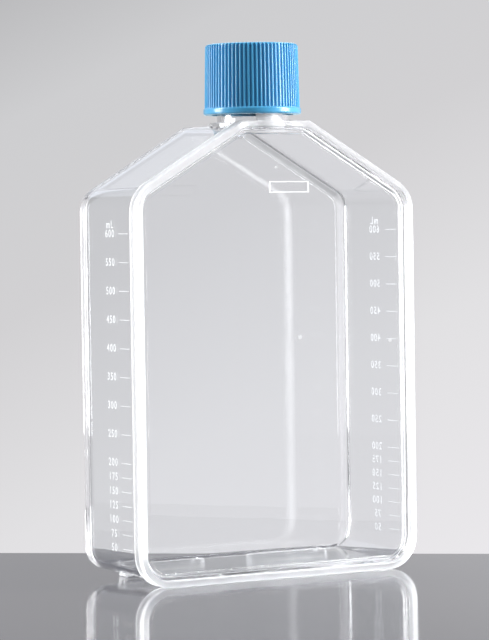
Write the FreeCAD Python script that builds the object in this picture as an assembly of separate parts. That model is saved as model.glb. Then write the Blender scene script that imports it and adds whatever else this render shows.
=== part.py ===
import FreeCAD, Part
import math
import os

# Cell culture flask, 175 cm2 class, standing on its base. Millimetres, +Z up.
# Origin: bottom centre of the overall box. Front plate faces -Y, growth face faces +Y.

V = FreeCAD.Vector
UP = V(0, 0, 1)

# Driving dimensions of the flask
WIDTH = 121.0              # across the rim frame
DEPTH = 47.7               # rim's front to growth face
SHOULDER_Z = 145.0         # where the sides would meet the shoulders
TOP_Z = 171.8              # flat top of the rim frame
TOP_HALF = 14.3            # half width of the flat top, at its sharp corner
CORNER_R = 12.3            # rim frame's lower and shoulder corners
TOP_CORNER_R = 3.0         # rim frame's top corners
WALL = 1.7                 # all moulded walls

# Rim frame and the plate welded into it
RIM_LENGTH = 6.0           # front to back
RIM_PROUD = 1.2            # how far it stands outside the walls
BASE_PROUD = 1.6           # and below the base
RIM_EDGE_R = 0.5           # rounding of its outer front edge
RIM_BACK_EDGE_R = 0.3      # and of its outer back edge
LIP_WIDTH = 2.5            # front face of the rim frame
PLATE_RECESS = 2.1         # rim's front to the plate's border
PLATE_T = 1.8
PLATE_GAP = 0.05           # weld line round the plate
PANEL_STEP = 0.9           # the plate's middle lies this much deeper than its border
PANEL_INSET = 4.9          # border's inner edge, from the rim's outside
PANEL_BACK_INSET = 3.9     # the same step on the inside face

# Draft: the walls lean in towards the growth face
FAR_INSET = 1.3
FAR_BASE_INSET = 3.0
FAR_CORNER_R = 9.2
FAR_TOP_CORNER_R = 4.0
FAR_FILLET = 0.6
FAR_INNER_FILLET = 2.0

# Two hollow feet under the far edge of the base, which make up for the draft
FOOT_START = 10.5          # from the middle
FOOT_END = 45.5
FOOT_DEPTH = 6.4           # front to back
FOOT_FROM_FACE = 0.4       # kept back from the growth face
FOOT_CORNER_R = 1.6
FOOT_EDGE_R = 0.6
FOOT_WALL = 1.5
POCKET_CORNER_R = 1.2

# Neck, its axis nearer the front plate
NECK_FROM_FRONT = 18.4
NECK_R = 13.6
BORE_R = 11.8
LIP_Z = 197.4
LIP_FILLET = 0.6
COLLAR_R = 16.3
COLLAR_TOP = 171.4         # just under the rounding of the rim frame's top

# Two-start right-hand thread
LEAD = 9.0
STARTS = 2
THREAD_DEPTH = 1.4
THREAD_ROOT_W = 2.3
THREAD_CREST_W = 1.0
THREAD_ROOT_BITE = 0.3     # how deep a ridge is rooted in its wall
NECK_THREAD_Z = 180.4
NECK_THREAD_TURNS = 1.2
CAP_THREAD_TURNS = 0.7

# Screw cap
CAP_BOTTOM = 174.4
CAP_TOP = 201.0
CAP_R_LOW = 18.1           # over the ribs, just above the bead
CAP_R_TOP = 17.5           # over the ribs, at the top edge
BEAD_R = 18.5
BEAD_H = 2.6
CAP_TOP_FILLET = 1.2
RIBS = 72
RIB_DEPTH = 0.55
RIB_CREST_SHARE = 0.36     # of the rib pitch
RIB_FOOT_SHARE = 0.66
CAP_BORE_R = 15.4
ROOF = 1.6
TOP_DISH_R = 13.1
TOP_DISH_DEPTH = 0.5
VENTS = 6
VENT_R_IN = 3.2
VENT_R_OUT = 9.6
VENT_SPOKE = 2.6

# Vent membrane and seal ring
MEMBRANE_R = 12.2
MEMBRANE_T = 0.25
SEAL_R_OUT = 14.8
SEAL_R_IN = 10.8
SEAL_CLEAR = 0.15          # seal ring to membrane, so that the cap turns over it

FRONT = -DEPTH / 2
FAR = FRONT + DEPTH
HALF = WIDTH / 2
SHOULDER_ANGLE = math.atan2(TOP_Z - SHOULDER_Z, HALF - TOP_HALF)
NECK_Y = FRONT + NECK_FROM_FRONT
NECK_AXIS = V(0, NECK_Y, 0)
PITCH = LEAD / STARTS


def outline_corners(side, base):
    """Six corners of the front view, counter-clockwise, set in by side and, along the base, by base."""
    half = HALF - side
    top = TOP_Z - side
    shoulder = SHOULDER_Z + side * (math.tan(SHOULDER_ANGLE) - 1 / math.cos(SHOULDER_ANGLE))
    flat = TOP_HALF - side * math.tan(SHOULDER_ANGLE / 2)
    return [(-half, base), (half, base), (half, shoulder), (flat, top), (-flat, top), (-half, shoulder)]


def outline_wire(y, side, base, radii):
    """The front view as a closed wire of lines and arcs at depth y; radii are base, shoulder, top."""
    corners = outline_corners(side, base)
    rounds = [radii[0], radii[0], radii[1], radii[2], radii[2], radii[1]]
    stops = []
    for i, (x, z) in enumerate(corners):
        here = V(x, y, z)
        before = V(corners[i - 1][0], y, corners[i - 1][1])
        after = V(corners[(i + 1) % 6][0], y, corners[(i + 1) % 6][1])
        to_before = (before - here).normalize()
        to_after = (after - here).normalize()
        half_angle = to_before.getAngle(to_after) / 2
        reach = rounds[i] / math.tan(half_angle)
        bisector = (to_before + to_after).normalize()
        middle = here + bisector * (rounds[i] / math.sin(half_angle) - rounds[i])
        stops.append((here + to_before * reach, middle, here + to_after * reach))
    edges = []
    for i, (start, middle, end) in enumerate(stops):
        edges.append(Part.Arc(start, middle, end).toShape())
        edges.append(Part.LineSegment(end, stops[(i + 1) % 6][0]).toShape())
    return Part.Wire(edges)


def slab(y_from, y_to, side, base, radii):
    """The front view, set in, as a flat slab between two depths."""
    face = Part.Face(outline_wire(y_from, side, base, radii))
    return face.extrude(V(0, y_to - y_from, 0))


def tapered(y_from, from_insets, from_radii, y_to, to_insets, to_radii):
    """A solid whose front view changes evenly from one depth to another."""
    wires = [outline_wire(y_from, *from_insets, from_radii), outline_wire(y_to, *to_insets, to_radii)]
    return Part.makeLoft(wires, True, True)


def edges_in_plane(solid, y):
    """Edges of a solid that lie in the plane at depth y."""
    return [e for e in solid.Edges if abs(e.BoundBox.YMin - y) < 0.01 and abs(e.BoundBox.YMax - y) < 0.01]


def radii_less(cut):
    """The rim frame's corner radii, less an inset."""
    return (CORNER_R - cut, CORNER_R - cut, max(TOP_CORNER_R - cut, 0.8))


def ridge(axis_y, root_r, crest_r, z_start, turns, turn_from):
    """One thread start: a trapezoid carried along a right-hand helix."""
    inward = 1 if root_r < crest_r else -1
    buried = root_r - inward * THREAD_ROOT_BITE
    corners = [V(buried, 0, -THREAD_ROOT_W / 2), V(crest_r, 0, -THREAD_CREST_W / 2),
               V(crest_r, 0, THREAD_CREST_W / 2), V(buried, 0, THREAD_ROOT_W / 2)]
    profile = Part.makePolygon(corners + corners[:1])
    helix = Part.Wire(Part.makeHelix(LEAD, LEAD * turns, root_r))
    solid = helix.makePipeShell([profile], True, True)
    solid.rotate(V(0, 0, 0), UP, turn_from)
    solid.translate(V(0, axis_y, z_start))
    return solid


def ring(axis_y, r_out, z_from, z_to, r_in=0.0):
    """A disc or a ring about an upright axis."""
    disc = Part.makeCylinder(r_out, z_to - z_from, V(0, axis_y, z_from))
    if r_in:
        disc = disc.cut(Part.makeCylinder(r_in, z_to - z_from + 2, V(0, axis_y, z_from - 1)))
    return disc


def foot_block(side, cut, floor, corner_r):
    """The block of one foot (cut 0, floor 0), or of the pocket inside it, its upright corners rounded."""
    width = FOOT_END - FOOT_START - 2 * cut
    depth = FOOT_DEPTH - 2 * cut
    height = FAR_BASE_INSET + WALL - floor
    low_x = side * (FOOT_START + FOOT_END) / 2 - width / 2
    block = Part.makeBox(width, depth, height, V(low_x, FAR - FOOT_FROM_FACE - cut - depth, floor))
    return block.makeFillet(corner_r, [e for e in block.Edges if e.BoundBox.XLength + e.BoundBox.YLength < 0.01])


def make_flask_body():
    rim = slab(FRONT, FRONT + RIM_LENGTH, 0, 0, radii_less(0))
    rim = rim.makeFillet(RIM_EDGE_R, edges_in_plane(rim, FRONT))
    rim = rim.makeFillet(RIM_BACK_EDGE_R, edges_in_plane(rim, FRONT + RIM_LENGTH))
    near_radii = radii_less(RIM_PROUD)
    far_radii = (FAR_CORNER_R, FAR_CORNER_R, FAR_TOP_CORNER_R)
    shell = tapered(FRONT + RIM_LENGTH / 2, (RIM_PROUD, BASE_PROUD), near_radii,
                    FAR, (FAR_INSET, FAR_BASE_INSET), far_radii)
    shell = shell.makeFillet(FAR_FILLET, edges_in_plane(shell, FAR))
    solid = rim.fuse(shell)

    for side in (-1, 1):
        foot = foot_block(side, 0, 0, FOOT_CORNER_R)
        low = [e for e in foot.Edges if e.BoundBox.ZMax < 0.01]
        solid = solid.fuse(foot.makeFillet(FOOT_EDGE_R, low))

    under_top = TOP_Z - FAR_INSET - WALL
    neck = ring(NECK_Y, NECK_R, under_top, LIP_Z)
    lip = [e for e in neck.Edges if e.BoundBox.ZMin > LIP_Z - 0.01]
    solid = solid.fuse(neck.makeFillet(LIP_FILLET, lip))
    solid = solid.fuse(ring(NECK_Y, COLLAR_R, under_top, COLLAR_TOP))

    seat = FRONT + PLATE_RECESS + PLATE_T
    solid = solid.cut(slab(FRONT - 1, seat, LIP_WIDTH, LIP_WIDTH, radii_less(LIP_WIDTH)))
    near_inset = RIM_PROUD + WALL
    cavity = tapered(seat - PLATE_T / 2, (near_inset, BASE_PROUD + WALL), radii_less(near_inset),
                     FAR - WALL, (FAR_INSET + WALL, FAR_BASE_INSET + WALL),
                     (FAR_CORNER_R - WALL, FAR_CORNER_R - WALL, FAR_TOP_CORNER_R - WALL))
    cavity = cavity.makeFillet(FAR_INNER_FILLET, edges_in_plane(cavity, FAR - WALL))
    solid = solid.cut(cavity)
    for side in (-1, 1):
        solid = solid.cut(foot_block(side, FOOT_WALL, FOOT_WALL, POCKET_CORNER_R))
    solid = solid.cut(ring(NECK_Y, BORE_R, under_top - 3, LIP_Z + 1))

    for start in range(STARTS):
        turn = start * 360 / STARTS
        solid = solid.fuse(ridge(NECK_Y, NECK_R, NECK_R + THREAD_DEPTH, NECK_THREAD_Z, NECK_THREAD_TURNS, turn))
    return solid


def make_front_plate():
    border = LIP_WIDTH + PLATE_GAP
    face = FRONT + PLATE_RECESS
    back = face + PLATE_T
    solid = slab(face, back, border, border, radii_less(border))
    solid = solid.fuse(slab(back, back + PANEL_STEP, PANEL_BACK_INSET, PANEL_BACK_INSET,
                            radii_less(PANEL_BACK_INSET)))
    solid = solid.cut(slab(face - 1, face + PANEL_STEP, PANEL_INSET, PANEL_INSET, radii_less(PANEL_INSET)))
    return solid.removeSplitter()


def ribbed_wire(z, crest_r):
    """The cap's outline at height z: RIBS rounded ribs on a round wall."""
    root_r = crest_r - RIB_DEPTH
    step = 2 * math.pi / RIBS

    def at(radius, angle):
        return V(radius * math.cos(angle), NECK_Y + radius * math.sin(angle), z)

    edges = []
    for i in range(RIBS):
        mid = i * step
        foot = step * RIB_FOOT_SHARE / 2
        crest = step * RIB_CREST_SHARE / 2
        shoulder_r = crest_r - RIB_DEPTH * 0.15
        next_foot = mid + step - foot
        edges.append(Part.LineSegment(at(root_r, mid - foot), at(shoulder_r, mid - crest)).toShape())
        edges.append(Part.Arc(at(shoulder_r, mid - crest), at(crest_r, mid), at(shoulder_r, mid + crest)).toShape())
        edges.append(Part.LineSegment(at(shoulder_r, mid + crest), at(root_r, mid + foot)).toShape())
        edges.append(Part.Arc(at(root_r, mid + foot), at(root_r, mid + step / 2), at(root_r, next_foot)).toShape())
    return Part.Wire(edges)


def make_cap_shell():
    taper = (CAP_R_LOW - CAP_R_TOP) / (CAP_TOP - CAP_BOTTOM)
    ribs_from = CAP_BOTTOM + BEAD_H / 2
    low_r = CAP_R_LOW - taper * BEAD_H / 2
    solid = Part.makeLoft([ribbed_wire(ribs_from, low_r), ribbed_wire(CAP_TOP, CAP_R_TOP)], True, True)
    dome = Part.makeCone(low_r + 0.5, CAP_R_TOP, CAP_TOP - ribs_from, V(0, NECK_Y, ribs_from))
    top_edge = [e for e in dome.Edges if e.BoundBox.ZMin > CAP_TOP - 0.01]
    solid = solid.common(dome.makeFillet(CAP_TOP_FILLET, top_edge))

    bead = ring(NECK_Y, BEAD_R, CAP_BOTTOM, CAP_BOTTOM + BEAD_H)
    rims = [e for e in bead.Edges if isinstance(e.Curve, Part.Circle)]
    solid = solid.fuse(bead.makeFillet(BEAD_H * 0.3, rims))

    solid = solid.cut(ring(NECK_Y, CAP_BORE_R, CAP_BOTTOM - 1, CAP_TOP - ROOF))
    solid = solid.cut(ring(NECK_Y, TOP_DISH_R, CAP_TOP - TOP_DISH_DEPTH, CAP_TOP + 1))
    window = ring(NECK_Y, VENT_R_OUT, CAP_TOP - ROOF - 0.5, CAP_TOP + 1, VENT_R_IN)
    for i in range(VENTS // 2):
        spoke = Part.makeBox(2 * VENT_R_OUT + 4, VENT_SPOKE, ROOF + 4,
                             V(-VENT_R_OUT - 2, NECK_Y - VENT_SPOKE / 2, CAP_TOP - ROOF - 2))
        spoke.rotate(NECK_AXIS, UP, i * 360 / VENTS)
        window = window.cut(spoke)
    solid = solid.cut(window)

    crest_r = CAP_BORE_R - THREAD_DEPTH + 0.1
    for start in range(STARTS):
        turn = start * 360 / STARTS
        z_start = NECK_THREAD_Z - PITCH / 2
        solid = solid.fuse(ridge(NECK_Y, CAP_BORE_R, crest_r, z_start, CAP_THREAD_TURNS, turn))
    return solid.removeSplitter()


def make_vent_membrane():
    under_roof = CAP_TOP - ROOF
    return ring(NECK_Y, MEMBRANE_R, under_roof - MEMBRANE_T, under_roof)


def make_seal_ring():
    top = CAP_TOP - ROOF - MEMBRANE_T - SEAL_CLEAR
    return ring(NECK_Y, SEAL_R_OUT, LIP_Z, top, SEAL_R_IN)


os.makedirs("parts", exist_ok=True)
NODES = {
    "flask_body": make_flask_body,
    "front_plate": make_front_plate,
    "cap_shell": make_cap_shell,
    "vent_membrane": make_vent_membrane,
    "seal_ring": make_seal_ring,
}
for name, make in NODES.items():
    shape = make()
    shape.exportStep(f"parts/{name}.step")
    print(name, len(shape.Solids), "solid", round(shape.Volume / 1000, 2), "cm3", shape.isValid())
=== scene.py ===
from math import atan2, cos, pi, radians, sin, tan

import bmesh
import bpy
import numpy as np
from mathutils import Matrix, Vector


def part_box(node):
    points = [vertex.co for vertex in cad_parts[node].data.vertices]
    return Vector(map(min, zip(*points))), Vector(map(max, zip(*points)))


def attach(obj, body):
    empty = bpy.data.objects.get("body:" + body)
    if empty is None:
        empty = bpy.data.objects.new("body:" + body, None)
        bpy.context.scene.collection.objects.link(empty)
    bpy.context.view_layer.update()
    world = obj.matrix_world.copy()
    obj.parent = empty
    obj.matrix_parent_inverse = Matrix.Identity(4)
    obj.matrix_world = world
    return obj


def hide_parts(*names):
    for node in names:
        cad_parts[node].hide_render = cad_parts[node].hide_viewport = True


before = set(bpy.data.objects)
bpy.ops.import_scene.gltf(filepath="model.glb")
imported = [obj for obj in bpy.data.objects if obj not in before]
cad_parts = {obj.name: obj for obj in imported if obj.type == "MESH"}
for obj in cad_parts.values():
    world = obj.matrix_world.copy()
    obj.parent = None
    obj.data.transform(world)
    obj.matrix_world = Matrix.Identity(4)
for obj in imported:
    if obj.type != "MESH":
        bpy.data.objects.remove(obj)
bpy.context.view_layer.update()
MM = 0.001

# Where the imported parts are, in millimetres
BODY_LOW, BODY_HIGH = (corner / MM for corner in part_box("flask_body"))
PLATE_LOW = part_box("front_plate")[0] / MM
CAP_LOW, CAP_HIGH = (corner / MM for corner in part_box("cap_shell"))
HALF = BODY_HIGH.x                         # half width over the rim frame
FRONT, FAR = BODY_LOW.y, BODY_HIGH.y       # rim's front and growth face
LIP_Z = BODY_HIGH.z                        # mouth of the neck
NECK_Y = (CAP_LOW.y + CAP_HIGH.y) / 2

# The clear moulding, in millimetres: front view, rim frame, front plate and drafted walls
SHOULDER_Z, TOP_Z, TOP_HALF = 145.0, 171.8, 14.3
LEAN = atan2(TOP_Z - SHOULDER_Z, HALF - TOP_HALF)    # of the shoulders
CORNER_R, TOP_CORNER_R, LEAST_CORNER_R = 12.3, 3.0, 0.8
WALL = 1.7
RIM_LENGTH, RIM_PROUD, BASE_PROUD = 6.0, 1.2, 1.6
LIP_WIDTH = 2.5
PLATE_RECESS = PLATE_LOW.y - FRONT         # rim's front to the plate's border
PLATE_T = 1.8
PANEL_STEP, PANEL_INSET, PANEL_BACK_INSET = 0.9, 4.9, 3.9
FAR_INSET, FAR_BASE_INSET = 1.3, 3.0       # draft of the sides and of the base
FAR_CORNER_R, FAR_TOP_CORNER_R = 9.2, 4.0
INNER_FILLET, BASE_INNER_FILLET = 3.0, 1.0 # chamber's far edges: sides and shoulders, then the base
FLAT_MARGIN = 4.0                          # how far a rounded step's flat runs on before the face across it

# Small roundings of the clear moulding's edges, in millimetres
PANEL_STEP_R, BORDER_R = 0.3, 0.2          # both edges of the panel's step; where the border meets the rim
RIM_EDGE_R = (0.4, 0.5, 0.3, 0.4)          # rim: inner and outer front edge, back edge and its foot
FAR_EDGE_R = 1.3                           # outer edge round the growth face
INSIDE_EDGE_R = 0.3                        # plate's back
MOUTH_R, COLLAR_EDGE_R, BURIED_R = 0.6, 0.4, 0.1
SHARP_ANGLE = radians(38)                  # edges steeper than this stay crisp

# Weld haze on the rim frame, in millimetres
HAZE_PAST_LIP, HAZE_PAST_BACK = 0.2, 0.05
HAZE_FACING = 0.7                          # faces that look back more than this stay clear

# Feet, neck, collar and thread of the moulding, in millimetres
FOOT_START, FOOT_END, FOOT_DEPTH, FOOT_FROM_FACE = 10.5, 45.5, 6.4, 0.4
FOOT_WALL, FOOT_CORNER_R, POCKET_CORNER_R, FOOT_EDGE_R = 1.5, 1.6, 1.2, 0.6
LEAST_FOOT_R = 0.2
NECK_R, BORE_R = 13.6, 11.8
BORE_BELOW, BORE_ABOVE = 3, 1              # how far the bore's cut runs past the neck
COLLAR_R, COLLAR_TOP = 16.3, 171.4
LEAD, STARTS, THREAD_DEPTH, THREAD_ROOT_W, THREAD_CREST_W = 9.0, 2, 1.4, 2.3, 1.0
THREAD_Z, THREAD_TURNS, THREAD_BITE, THREAD_FADE = 180.4, 1.2, 0.3, radians(25)
THREAD_STEPS, THREAD_LEAST = 80, 0.1       # steps a turn, and the share of its depth left at the ends

# Printed graduations, in millimetres
GRAD_ZERO = 3.06           # height that stands for an empty flask
GRAD_PER_ML = 0.2120       # height of one millilitre
GRAD_MARKS = [600, 550, 500, 450, 400, 350, 300, 250, 200, 175, 150, 125, 100, 75, 50]
GRAD_UNIT_HEIGHT = 133.6
FIGURE_HEIGHT, FIGURE_BOLDER = 2.8, 0.07
FIGURE_SHARE, FIGURE_SPACING = 0.70, 1.25  # figure height and spacing, as shares of the font's own
FIGURES_FROM_FRONT = {-1: 23.6, 1: 24.8}   # middle of the figures, left and right wall
TICK_FROM_FRONT = (9.5, 17.0)
TICK_THICK = 0.24
PRINT_LIFT = 0.02

# Label panel, an empty printed outline on the front plate, in millimetres
PANEL_MID = (6.4, 146.9)
PANEL_SIZE = (17.6, 4.3)
PANEL_LINE = (0.65, 0.42)  # upright and level strokes

# Rub marks on the front plate, in millimetres: x, height, half length, half width
SCUFFS = [(0.8, 154.3, 0.7, 0.5), (10.3, 90.3, 0.9, 0.8), (51.0, 87.8, 0.8, 0.6)]
SCUFF_POINTS = 12

# Studio, in metres and degrees, apart from the lens and its sensor in millimetres
CAMERA_AT = (-0.57601, -0.96378, 0.13442)
CAMERA_TURN, CAMERA_PITCH, CAMERA_ROLL = 30.80, 1.93, -0.82
LENS, SENSOR = 165.77, 36.0
TABLE_EDGE_BEHIND, TABLE_EDGE_TURN = 0.0648, 38.85
TABLE_HALF, TABLE_NEAR, TABLE_THICK = 0.22, -0.6, 0.03
TABLE_GAP = 0.0001                         # between the table and what stands on it
LAMP_AIM = (0, 0, 0.10)
LIGHT_BOUNCES = 96                         # light runs far inside clear walls before it leaves them

# Soft boxes: name, turn to the right of the line of sight, height, distance, size, radiance and colour
SOFT_BOXES = [
    ("strip", -92, 0.59, 1.3, (0.5, 1.4), 12.0, "FFFFFF"),
    ("strip", 97, 0.59, 1.3, (0.65, 1.4), 13.0, "FFFFFF"),
    ("shoulder_box", -20, 0.95, 1.3, (1.2, 0.6), 0.46, "EEF3FF"),
    ("high_box", -20, 1.6, 1.0, (1.2, 0.8), 1.4, "F2F6FF"),
]


def linear(code, alpha=1.0):
    """An sRGB hex colour as linear RGBA."""
    channels = [int(code[i:i + 2], 16) / 255 for i in (0, 2, 4)]
    return tuple(c / 12.92 if c <= 0.04045 else ((c + 0.055) / 1.055) ** 2.4 for c in channels) + (alpha,)


def add(tree, kind, settings=None, inputs=None, links=None):
    """One shader node: its properties, its own socket values, and links {input: (node, output)}."""
    node = tree.nodes.new(kind)
    for name, value in (settings or {}).items():
        setattr(node, name, value)
    for name, value in (inputs or {}).items():
        node.inputs[name].default_value = value
    for name, (source, output) in (links or {}).items():
        tree.links.new(source.outputs[output], node.inputs[name])
    return node


def new_material(name):
    """An empty node material and its tree."""
    material = bpy.data.materials.new(name)
    material.use_nodes = True
    material.node_tree.nodes.clear()
    return material, material.node_tree


def surface_bump(tree, cell_mm, height_mm, detail=2.0):
    """Bump from noise whose cells are cell_mm wide and height_mm high, on Object coordinates."""
    place = add(tree, "ShaderNodeTexCoord")
    noise = add(tree, "ShaderNodeTexNoise", inputs={"Scale": 1.0 / (cell_mm * MM), "Detail": detail},
                links={"Vector": (place, "Object")})
    return add(tree, "ShaderNodeBump", inputs={"Strength": 1.0, "Distance": height_mm * MM},
               links={"Height": (noise, "Fac")})


def clear_polystyrene(name, roughness):
    """Injection-moulded crystal polystyrene: colourless and high index.

    It is polished by the mould, or hazed by the weld, with the faint long waves that the melt leaves. Lamps
    reach through it, a little dimmed.
    """
    material, tree = new_material(name)
    waves = surface_bump(tree, 14.0, 0.012, 1.0)
    plastic = add(tree, "ShaderNodeBsdfPrincipled", inputs={
        "Base Color": linear("FCFDFE"), "Roughness": roughness, "IOR": 1.585, "Transmission Weight": 1.0},
        links={"Normal": (waves, "Normal")})
    through = add(tree, "ShaderNodeBsdfTransparent", inputs={"Color": linear("F9FAFB")})
    path = add(tree, "ShaderNodeLightPath")
    mix = add(tree, "ShaderNodeMixShader",
              links={0: (path, "Is Shadow Ray"), 1: (plastic, "BSDF"), 2: (through, "BSDF")})
    add(tree, "ShaderNodeOutputMaterial", links={"Surface": (mix, "Shader")})
    return material


def blue_polyethylene():
    """Moulded high-density polyethylene: semi-gloss and faintly translucent.

    Its waxy bloom pales the ribs where they turn away. The mould's grain is drawn coarser than real, to show.
    """
    material, tree = new_material("blue_hdpe_moulded")
    grain = surface_bump(tree, 0.6, 0.002)
    shader = add(tree, "ShaderNodeBsdfPrincipled", inputs={
        "Base Color": linear("52B1E3"), "Roughness": 0.22, "IOR": 1.53, "Specular IOR Level": 0.7,
        "Sheen Weight": 1.0, "Sheen Roughness": 0.35, "Sheen Tint": linear("C4F0FF"),
        "Subsurface Weight": 0.1, "Subsurface Radius": (0.4, 0.8, 1.0), "Subsurface Scale": 0.0015},
        links={"Normal": (grain, "Normal")})
    add(tree, "ShaderNodeOutputMaterial", links={"Surface": (shader, "BSDF")})
    return material


def white_membrane():
    """Spun hydrophobic filter membrane: matte white felt, its fibres drawn coarser than real, to show."""
    material, tree = new_material("vent_membrane_felt")
    fibre = surface_bump(tree, 0.25, 0.03, 4.0)
    shader = add(tree, "ShaderNodeBsdfPrincipled", inputs={
        "Base Color": linear("ECEDEB"), "Roughness": 0.85, "IOR": 1.4},
        links={"Normal": (fibre, "Normal")})
    add(tree, "ShaderNodeOutputMaterial", links={"Surface": (shader, "BSDF")})
    return material


def seal_elastomer():
    """Soft sealing ring: satin off-white elastomer."""
    material, tree = new_material("seal_elastomer")
    grain = surface_bump(tree, 0.4, 0.005)
    shader = add(tree, "ShaderNodeBsdfPrincipled", inputs={
        "Base Color": linear("DDE0E0"), "Roughness": 0.5, "IOR": 1.45},
        links={"Normal": (grain, "Normal")})
    add(tree, "ShaderNodeOutputMaterial", links={"Surface": (shader, "BSDF")})
    return material


def white_print(name, thinness):
    """Printed white ink: matte, slightly uneven, and where thin it also glows with the light behind it."""
    material, tree = new_material(name)
    place = add(tree, "ShaderNodeTexCoord")
    noise = add(tree, "ShaderNodeTexNoise", inputs={"Scale": 1.0 / (0.4 * MM), "Detail": 2.0},
                links={"Vector": (place, "Object")})
    tone = add(tree, "ShaderNodeValToRGB", links={"Fac": (noise, "Fac")})
    tone.color_ramp.elements[0].color = linear("F2F4F6")
    tone.color_ramp.elements[1].color = linear("FFFFFF")
    shader = add(tree, "ShaderNodeBsdfPrincipled", inputs={"Roughness": 0.6, "IOR": 1.45},
                 links={"Base Color": (tone, "Color")})
    thin = add(tree, "ShaderNodeBsdfTranslucent", links={"Color": (tone, "Color")})
    both = add(tree, "ShaderNodeMixShader", inputs={0: thinness},
               links={1: (shader, "BSDF"), 2: (thin, "BSDF")})
    add(tree, "ShaderNodeOutputMaterial", links={"Surface": (both, "Shader")})
    return material


def dress(node, material):
    """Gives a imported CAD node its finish."""
    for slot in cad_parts[node].material_slots:
        slot.material = material


def show(name, mesh, material):
    """An object at the origin for a mesh, in the scene."""
    mesh.materials.clear()
    mesh.materials.append(material)
    piece = bpy.data.objects.new(name, mesh)
    bpy.context.scene.collection.objects.link(piece)
    return piece


def rounded(stops, reach, steps=6, across=(0, 2)):
    """A profile through stops whose inner corners are rounded.

    Corner P gives way to the arc ((1-t)^2 A + 2wt(1-t) P + t^2 B) / ((1-t)^2 + 2wt(1-t) + t^2), where A and B
    lie reach along its two runs and w is the cosine of 45 degrees. Run lengths are taken over the columns
    across.
    """
    stops = np.array(stops, float)
    t = np.linspace(0, 1, steps + 1)[:, None]
    pull = 2 * cos(pi / 4) * t * (1 - t)
    out = [stops[:1]]
    for before, here, after, far in zip(stops, stops[1:], stops[2:], reach):
        ends = []
        for other in (before, after):
            run = np.linalg.norm((other - here)[list(across)])
            ends.append(here + (other - here) * far / run)
        arc = (1 - t) ** 2 * ends[0] + pull * here + t ** 2 * ends[1]
        out.append(arc / ((1 - t) ** 2 + pull + t ** 2))
    out.append(stops[-1:])
    return np.vstack(out)


def turned(corner, heading, radius, steps):
    """Closed outlines, counter-clockwise, with their corners turned into arcs.

    corner is rings x corners x 2, radius rings x corners, and heading the direction of the run that leaves
    each corner. An arc is centre + radius (sin a, -cos a), with a going from the run before to the run after.
    """
    before = np.roll(heading, 1)
    turn = (heading - before) % (2 * pi)
    angle = before[:, None] + turn[:, None] * np.linspace(0, 1, steps + 1)
    arrive = np.stack([np.cos(before), np.sin(before)], 1)
    left = np.stack([-np.sin(before), np.cos(before)], 1)
    centre = corner - (radius * np.tan(turn / 2))[..., None] * arrive + radius[..., None] * left
    outward = np.stack([np.sin(angle), -np.cos(angle)], -1)
    points = centre[:, :, None] + radius[:, :, None, None] * outward
    return points.reshape(len(corner), -1, 2)


def front_view(stops, steps=18):
    """Rings of the flask's front view, one for each stop.

    A stop is (side inset, base inset, depth, low, shoulder and top radius). An inset s moves the foot of a
    shoulder by s (tan lean - 1 / cos lean), and the end of the flat top by -s tan (lean / 2).
    """
    side, base, depth, low_r, shoulder_r, top_r = np.array(stops).T
    half = HALF - side
    shoulder = SHOULDER_Z + side * (tan(LEAN) - 1 / cos(LEAN))
    flat = TOP_HALF - side * tan(LEAN / 2)
    top = TOP_Z - side
    corner = np.stack([np.stack([-half, half, half, flat, -flat, -half], 1),
                       np.stack([base, base, shoulder, top, top, shoulder], 1)], 2)
    heading = np.array([0, pi / 2, pi - LEAN, pi, pi + LEAN, 1.5 * pi])
    radius = np.stack([low_r, low_r, shoulder_r, top_r, top_r, shoulder_r], 1)
    flat_rings = turned(corner, heading, radius, steps)
    y = np.broadcast_to(depth[:, None], flat_rings.shape[:2])
    return np.stack([flat_rings[..., 0], y, flat_rings[..., 1]], -1)


def block(low, high, corner_r):
    """Rings of an upright block with rounded corners and a rounded lower edge."""
    inset, z = rounded([(FOOT_EDGE_R + 1, low[2]), (0, low[2]), (0, high[2])], [FOOT_EDGE_R], across=(0, 1)).T
    x0, x1, y0, y1 = low[0] + inset, high[0] - inset, low[1] + inset, high[1] - inset
    corner = np.stack([np.stack([x0, x1, x1, x0], 1), np.stack([y0, y0, y1, y1], 1)], 2)
    radius = np.maximum(corner_r - inset, LEAST_FOOT_R)[:, None] * np.ones(4)
    flat_rings = turned(corner, np.array([0, pi / 2, pi, 1.5 * pi]), radius, 6)
    return np.dstack([flat_rings, np.broadcast_to(z[:, None], flat_rings.shape[:2])])


def lathe(stops, steps=128):
    """Rings of a turned solid: each (radius, height) stop is carried round the neck's axis."""
    radius, z = np.array(stops, float).T
    angle = np.arange(steps) * 2 * pi / steps
    return np.stack([radius[:, None] * np.cos(angle), NECK_Y + radius[:, None] * np.sin(angle),
                     z[:, None] + 0 * angle], -1)


def ridge(first_angle):
    """Rings of one thread start: a trapezoid carried up a helix, sinking into the neck at both ends."""
    t = np.linspace(0, 1, int(THREAD_TURNS * THREAD_STEPS))
    angle = first_angle + t * THREAD_TURNS * 2 * pi
    buried = NECK_R - THREAD_BITE
    swell = np.clip(np.minimum(t, 1 - t) * THREAD_TURNS * 2 * pi / THREAD_FADE, THREAD_LEAST, 1)
    crest = buried + (THREAD_DEPTH + THREAD_BITE) * swell
    radius = np.stack([buried + 0 * t, crest, crest, buried + 0 * t], 1)
    up = np.array([-THREAD_ROOT_W, -THREAD_CREST_W, THREAD_CREST_W, THREAD_ROOT_W]) / 2
    z = (THREAD_Z + t * THREAD_TURNS * LEAD)[:, None] + up
    return np.stack([radius * np.cos(angle)[:, None], NECK_Y + radius * np.sin(angle)[:, None], z], -1)


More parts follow.
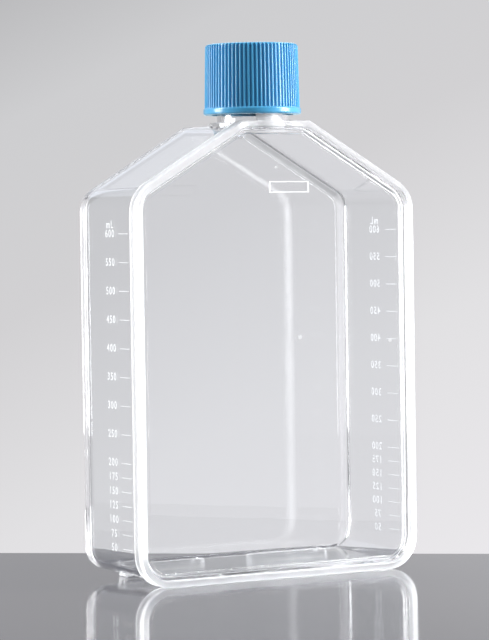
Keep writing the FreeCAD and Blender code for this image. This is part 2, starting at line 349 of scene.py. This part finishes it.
def solid(rings):
    """A closed solid object in millimetres: faces from ring to ring and one across each end, all outwards."""
    count, points = rings.shape[:2]
    index = np.arange(count * points).reshape(count, points)
    ahead = np.roll(index, -1, 1)
    quads = np.stack([index[:-1], ahead[:-1], ahead[1:], index[1:]], -1).reshape(-1, 4)
    faces = quads.tolist() + [index[0, ::-1].tolist(), index[-1].tolist()]
    mesh = bpy.data.meshes.new("solid")
    mesh.from_pydata(rings.reshape(-1, 3), [], faces)
    shape = bmesh.new()
    shape.from_mesh(mesh)
    if shape.calc_volume(signed=True) < 0:
        mesh.flip_normals()
    shape.free()
    item = bpy.data.objects.new("solid", mesh)
    bpy.context.scene.collection.objects.link(item)
    return item


def carved(first, joined, cut):
    """The mesh of the first solid with others joined to it, and then others cut away, in metres."""
    for operation, others in (("UNION", joined), ("DIFFERENCE", cut)):
        for other in others:
            change = first.modifiers.new(operation, "BOOLEAN")
            change.operation, change.solver, change.object = operation, "EXACT", other
    shape = first.evaluated_get(bpy.context.evaluated_depsgraph_get())
    mesh = bpy.data.meshes.new_from_object(shape)
    for item in (first, *joined, *cut):
        bpy.data.objects.remove(item)
    mesh.transform(Matrix.Scale(MM, 4))
    return mesh


def at(inset, depth):
    """A stop of the rim frame or the plate: the front view set in evenly."""
    corner_r, top_r = CORNER_R - inset, max(TOP_CORNER_R - inset, LEAST_CORNER_R)
    return (inset, inset, FRONT + depth, corner_r, corner_r, top_r)


def onto_flat(stop):
    """A stop further in on the same flat, where a face is drawn across."""
    return tuple(np.array(stop) + FLAT_MARGIN * np.array([1, 1, 0, -1, -1, 0]))


def wall(depth, inward):
    """A stop of the drafted walls, set in by inward: evenly from the rim's middle to the growth face."""
    near = np.array(at(RIM_PROUD + inward, RIM_LENGTH / 2))
    near[1] = BASE_PROUD + inward
    corner_r = FAR_CORNER_R - inward
    far = np.array((FAR_INSET + inward, FAR_BASE_INSET + inward, FAR, corner_r, corner_r,
                    FAR_TOP_CORNER_R - inward))
    share = (FRONT + depth - near[2]) / (FAR - near[2])
    return tuple(near + (far - near) * share)


def rim_depth(centre):
    """How far in from the rim frame's outline, in the front view, each face centre lies, in millimetres."""
    x, z = np.abs(centre[0::3]) / MM, centre[2::3] / MM
    flats = np.stack([HALF - x, z, TOP_Z - z, (HALF - x) * sin(LEAN) + (SHOULDER_Z - z) * cos(LEAN)])
    corner = CORNER_R - np.hypot(x - (HALF - CORNER_R), z - CORNER_R)
    return np.where((x > HALF - CORNER_R) & (z < CORNER_R), corner, flats.min(0))


def flask_shell(material, welded):
    """The clear flask: moulding and front plate, welded into one piece of plastic.

    The outside, the neck, its collar and thread and the feet are joined as solids. The chamber, the bore and
    the feet's pockets are then cut from them.
    """
    depth = FAR - FRONT
    seat = PLATE_RECESS + PLATE_T
    panel = PLATE_RECESS + PANEL_STEP
    outside = rounded(
        [at(PANEL_INSET + FLAT_MARGIN, panel), at(PANEL_INSET, panel), at(PANEL_INSET, PLATE_RECESS),
         at(LIP_WIDTH, PLATE_RECESS), at(LIP_WIDTH, 0), at(0, 0), at(0, RIM_LENGTH), wall(RIM_LENGTH, 0),
         wall(depth, 0), onto_flat(wall(depth, 0))],
        [PANEL_STEP_R, PANEL_STEP_R, BORDER_R, *RIM_EDGE_R, FAR_EDGE_R], steps=10)
    far_inside = np.array(wall(depth, WALL))
    far_inside[2] = FAR - WALL
    plate_back = rounded(
        [at(PANEL_BACK_INSET + FLAT_MARGIN, seat + PANEL_STEP), at(PANEL_BACK_INSET, seat + PANEL_STEP),
         at(PANEL_BACK_INSET, seat), wall(seat, WALL), tuple(far_inside)],
        [INSIDE_EDGE_R] * 3)
    far_end, base_end = (rounded([plate_back[-2], far_inside, onto_flat(far_inside)], [reach], steps=16)[1:]
                         for reach in (INNER_FILLET, BASE_INNER_FILLET))
    far_end[:-1, 1] = np.interp(far_end[:-1, 2], base_end[:-1, 2], base_end[:-1, 1])
    chamber = np.vstack([plate_back[:-1], far_end])

    under_top = TOP_Z - FAR_INSET - WALL
    neck = rounded([(BORE_R, under_top), (NECK_R, under_top), (NECK_R, LIP_Z), (BORE_R - 1, LIP_Z)],
                   [BURIED_R, MOUTH_R], across=(0, 1))
    collar = rounded([(NECK_R, under_top), (COLLAR_R, under_top), (COLLAR_R, COLLAR_TOP),
                      (NECK_R, COLLAR_TOP)], [BURIED_R, COLLAR_EDGE_R], across=(0, 1))
    joined = [lathe(neck), lathe(collar)] + [ridge(start * 2 * pi / STARTS) for start in range(STARTS)]
    cut = [front_view(chamber), lathe([(BORE_R, under_top - BORE_BELOW), (BORE_R, LIP_Z + BORE_ABOVE)])]
    for side in (-1, 1):
        for rings, inward, corner_r in ((joined, 0, FOOT_CORNER_R), (cut, FOOT_WALL, POCKET_CORNER_R)):
            ends = sorted((side * (FOOT_START + inward), side * (FOOT_END - inward)))
            back = FAR - FOOT_FROM_FACE - inward
            low = (ends[0], FAR - FOOT_FROM_FACE - FOOT_DEPTH + inward, inward)
            rings.append(block(low, (ends[1], back, FAR_BASE_INSET + WALL), corner_r))

    mesh = carved(solid(front_view(outside)), [solid(r) for r in joined], [solid(r) for r in cut])
    mesh.shade_smooth()
    mesh.set_sharp_from_angle(angle=SHARP_ANGLE)
    piece = show("flask_shell", mesh, material)
    mesh.materials.append(welded)
    normal, centre = np.empty(len(mesh.polygons) * 3), np.empty(len(mesh.polygons) * 3)
    mesh.polygons.foreach_get("normal", normal)
    mesh.polygons.foreach_get("center", centre)
    on_rim = centre[1::3] < (FRONT + RIM_LENGTH + HAZE_PAST_BACK) * MM
    hazed = on_rim & (rim_depth(centre) < LIP_WIDTH + HAZE_PAST_LIP) & (normal[1::3] < HAZE_FACING)
    mesh.polygons.foreach_set("material_index", hazed.astype(np.int32))
    even = piece.modifiers.new("flat_faces_stay_flat", "WEIGHTED_NORMAL")
    even.weight = 100
    even.keep_sharp = True
    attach(piece, "flask")
    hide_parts("flask_body", "front_plate")


def flat_piece(name, parts, place, material):
    """One printed piece from many (points, faces) in millimetres, put in place by a matrix."""
    points, faces, start = [], [], 0
    for some_points, some_faces in parts:
        points.append(some_points)
        faces += [tuple(i + start for i in face) for face in some_faces]
        start += len(some_points)
    place = np.array(place)
    mesh = bpy.data.meshes.new(name)
    mesh.from_pydata(np.vstack(points) * MM @ place[:3, :3].T + place[:3, 3], [], faces)
    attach(show(name, mesh, material), "flask")


def text_mesh(words, height):
    """Flat letters as points and faces in the XY plane, centred on the origin, of a given figure height."""
    curve = bpy.data.curves.new("letters", "FONT")
    curve.body = words
    curve.align_x = "CENTER"
    curve.align_y = "CENTER"
    curve.size = height / FIGURE_SHARE
    curve.space_character = FIGURE_SPACING
    curve.offset = FIGURE_BOLDER
    curve.resolution_u = 4
    holder = bpy.data.objects.new("letters", curve)
    bpy.context.scene.collection.objects.link(holder)
    bpy.context.view_layer.update()
    mesh = bpy.data.meshes.new_from_object(holder)
    points = np.empty(len(mesh.vertices) * 3)
    mesh.vertices.foreach_get("co", points)
    faces = [tuple(p.vertices) for p in mesh.polygons]
    bpy.data.objects.remove(holder)
    bpy.data.curves.remove(curve)
    bpy.data.meshes.remove(mesh)
    return points.reshape(-1, 3), faces


def rectangle(x0, x1, y0, y1):
    """Corners and face of a flat rectangle."""
    return np.array([(x0, y0, 0), (x1, y0, 0), (x1, y1, 0), (x0, y1, 0)], float), [(0, 1, 2, 3)]


def wall_place(side):
    """Matrix from print coordinates (x along the reading direction, y up) to a side wall's outer face.

    The origin is where the wall would meet the plane of the rim's front. Read from outside, text on the left
    wall runs towards the front, and on the right wall towards the back.
    """
    ends = [wall(depth, 0) for depth in (0, FAR - FRONT)]
    near, far = (Vector((side * (HALF - end[0]), end[2], 0)) for end in ends)
    along = (far - near).normalized() * side
    up = Vector((0, 0, 1))
    out = along.cross(up)
    place = Matrix((along, up, out)).transposed().to_4x4()
    place.translation = (near + out * PRINT_LIFT) * MM
    return place


def graduations(side, material):
    """Figures, ticks and unit on one side wall, printed on its outer face."""
    parts = []
    middle = side * FIGURES_FROM_FRONT[side]
    for mark in GRAD_MARKS:
        z = GRAD_ZERO + GRAD_PER_ML * mark
        points, faces = text_mesh(str(mark), FIGURE_HEIGHT)
        parts.append((points + (middle, z, 0), faces))
        ends = sorted(side * end for end in TICK_FROM_FRONT)
        parts.append(rectangle(ends[0], ends[1], z - TICK_THICK / 2, z + TICK_THICK / 2))
    points, faces = text_mesh("mL", FIGURE_HEIGHT)
    parts.append((points + (middle, GRAD_UNIT_HEIGHT, 0), faces))
    flat_piece("graduations_left" if side < 0 else "graduations_right", parts, wall_place(side), material)


def plate_place(x, z):
    """Matrix from print coordinates (x to the right, y up) to the front plate's outer face, from x and z."""
    place = Matrix.Rotation(pi / 2, 4, "X")
    place.translation = Vector((x, PLATE_LOW.y + PANEL_STEP - PRINT_LIFT, z)) * MM
    return place


def label_panel(material):
    """The empty outline for hand-written notes, printed on the front plate."""
    w, h = PANEL_SIZE[0] / 2, PANEL_SIZE[1] / 2
    u, t = PANEL_LINE
    parts = [rectangle(-w, w, h - t, h), rectangle(-w, w, -h, t - h),
             rectangle(-w, u - w, t - h, h - t), rectangle(w - u, w, t - h, h - t)]
    flat_piece("label_panel", parts, plate_place(*PANEL_MID), material)


def scuffs(material):
    """Small white rub marks on the front plate: ellipses (long cos a, short sin a)."""
    angle = np.arange(SCUFF_POINTS) * 2 * pi / SCUFF_POINTS
    parts = []
    for x, z, long, short in SCUFFS:
        points = np.stack([x + long * np.cos(angle), z + short * np.sin(angle), 0 * angle], 1)
        parts.append((points, [tuple(range(SCUFF_POINTS))]))
    flat_piece("scuffs", parts, plate_place(0, 0), material)


def grey_laminate():
    """Pressed melamine laminate: smooth and sealed, an even grey with a faint mottle and a fine grain."""
    material, tree = new_material("satin_laminate")
    place = add(tree, "ShaderNodeTexCoord")
    mottle = add(tree, "ShaderNodeTexNoise", inputs={"Scale": 1.0 / (3.0 * MM), "Detail": 3.0},
                 links={"Vector": (place, "Object")})
    tone = add(tree, "ShaderNodeValToRGB", links={"Fac": (mottle, "Fac")})
    tone.color_ramp.elements[0].color = linear("5F5E63")
    tone.color_ramp.elements[1].color = linear("67666B")
    grain = surface_bump(tree, 1.5, 0.001)
    shader = add(tree, "ShaderNodeBsdfPrincipled", inputs={"Roughness": 0.08, "IOR": 1.52},
                 links={"Base Color": (tone, "Color"), "Normal": (grain, "Normal")})
    add(tree, "ShaderNodeOutputMaterial", links={"Surface": (shader, "BSDF")})
    return material


def table(material):
    """The table: a small plain slab whose far edge lies just behind the flask."""
    turn = Matrix.Rotation(radians(-TABLE_EDGE_TURN), 3, "Z")
    corners = [(-TABLE_HALF, TABLE_NEAR), (TABLE_HALF, TABLE_NEAR), (TABLE_HALF, TABLE_EDGE_BEHIND),
               (-TABLE_HALF, TABLE_EDGE_BEHIND)]
    top = [turn @ Vector((x, y, -TABLE_GAP)) for x, y in corners]
    low = [v - Vector((0, 0, TABLE_THICK)) for v in top]
    faces = [(0, 1, 2, 3), (7, 6, 5, 4), (0, 4, 5, 1), (1, 5, 6, 2), (2, 6, 7, 3), (3, 7, 4, 0)]
    mesh = bpy.data.meshes.new("table")
    mesh.from_pydata(top + low, [], faces)
    show("table", mesh, material)


def backdrop():
    """A pale backdrop that runs round the whole studio, darker towards the top, under an unlit ceiling.

    Behind the camera it is darker still for the light it gives and for what shines off a surface. It isn't
    darker for what is seen directly or through the clear walls, so every view has a pale ground.
    """
    world = bpy.data.worlds.new("studio")
    bpy.context.scene.world = world
    world.use_nodes = True
    tree = world.node_tree
    tree.nodes.clear()
    place = add(tree, "ShaderNodeTexCoord")

    def ramp(axis, low, high, stops):
        """Colours along an axis of the view direction, between two of its values."""
        along = add(tree, "ShaderNodeVectorMath", {"operation": "DOT_PRODUCT"}, {1: tuple(axis)},
                    {0: (place, "Generated")})
        stretch = add(tree, "ShaderNodeMapRange", inputs={"From Min": low, "From Max": high},
                      links={"Value": (along, "Value")})
        node = add(tree, "ShaderNodeValToRGB", links={"Fac": (stretch, "Result")})
        for _ in stops[2:]:
            node.color_ramp.elements.new(0.5)
        for element, (position, colour) in zip(node.color_ramp.elements, stops):
            element.position = position
            element.color = linear(colour)
        return node

    turn = radians(CAMERA_TURN)
    grade = Vector((cos(turn), -sin(turn), 0)) * 0.45 + Vector((0, 0, -0.9))
    pale = ramp(grade, -0.12, 0.15,
                [(0.0, "B4B4B6"), (0.2, "CECED0"), (0.42, "D2D1D3"), (0.67, "E2E1E3"), (1.0, "EBE9EC")])
    height = ramp((0, 0, 1), 0.0, 1.0, [(0.0, "FFFFFF"), (0.55, "FFFFFF"), (0.75, "8C8E92"), (1.0, "505256")])
    behind = ramp((sin(turn), cos(turn), 0), -1.0, 1.0,
                  [(0.0, "5A5C60"), (0.3, "E6E6E6"), (0.5, "FFFFFF"), (1.0, "FFFFFF")])
    shaded = add(tree, "ShaderNodeMix", {"data_type": "RGBA", "blend_type": "MULTIPLY"}, {0: 1.0},
                 {6: (pale, "Color"), 7: (height, "Color")})
    path = add(tree, "ShaderNodeLightPath")
    seen = add(tree, "ShaderNodeMath", {"operation": "MAXIMUM"},
               links={0: (path, "Is Camera Ray"), 1: (path, "Is Transmission Ray")})
    unseen = add(tree, "ShaderNodeMath", {"operation": "SUBTRACT"}, {0: 1.0}, {1: (seen, "Value")})
    shaded = add(tree, "ShaderNodeMix", {"data_type": "RGBA", "blend_type": "MULTIPLY"},
                 links={0: (unseen, "Value"), 6: (shaded, 2), 7: (behind, "Color")})
    glow = add(tree, "ShaderNodeBackground", inputs={"Strength": 1.0}, links={"Color": (shaded, 2)})
    add(tree, "ShaderNodeOutputWorld", links={"Surface": (glow, "Background")})


def soft_box(name, turn, height, distance, size, radiance, colour):
    """A soft box, turned degrees to the right of the camera's line of sight, facing the flask."""
    heading = radians(CAMERA_TURN + turn)
    light = bpy.data.lights.new(name, "AREA")
    light.shape = "RECTANGLE"
    light.size, light.size_y = size
    light.energy = radiance * pi * size[0] * size[1]
    light.color = linear(colour)[:3]
    lamp = bpy.data.objects.new(name, light)
    bpy.context.scene.collection.objects.link(lamp)
    at_point = Vector((sin(heading) * distance, cos(heading) * distance, height))
    facing = (Vector(LAMP_AIM) - at_point).to_track_quat("-Z", "Y")
    lamp.matrix_world = Matrix.Translation(at_point) @ facing.to_matrix().to_4x4()
    lamp.visible_camera = False


def camera():
    """A long lens at the viewing angle, two thirds of the way up the flask."""
    lens = bpy.data.cameras.new("camera")
    lens.lens = LENS
    lens.sensor_width = SENSOR
    lens.clip_start = 0.01
    lens.clip_end = 100.0
    holder = bpy.data.objects.new("camera", lens)
    bpy.context.scene.collection.objects.link(holder)
    holder.matrix_world = (Matrix.Translation(CAMERA_AT)
                           @ Matrix.Rotation(radians(-CAMERA_TURN), 4, "Z")
                           @ Matrix.Rotation(radians(90 - CAMERA_PITCH), 4, "X")
                           @ Matrix.Rotation(radians(CAMERA_ROLL), 4, "Z"))
    bpy.context.scene.camera = holder


flask_shell(clear_polystyrene("crystal_polystyrene", 0.0), clear_polystyrene("weld_hazed_polystyrene", 0.4))
dress("cap_shell", blue_polyethylene())
dress("vent_membrane", white_membrane())
dress("seal_ring", seal_elastomer())

thin_ink = white_print("white_pad_print", 0.45)
for side in (-1, 1):
    graduations(side, thin_ink)
label_panel(white_print("white_screen_print", 0.05))
scuffs(thin_ink)

table(grey_laminate())
backdrop()
for box in SOFT_BOXES:
    soft_box(*box)
camera()

bpy.context.scene.view_settings.view_transform = "Standard"
for kind in ("max", "glossy", "transmission"):
    setattr(bpy.context.scene.cycles, kind + "_bounces", LIGHT_BOUNCES)
bpy.context.scene.cycles.caustics_refractive = False   # shadow rays already carry light through clear walls
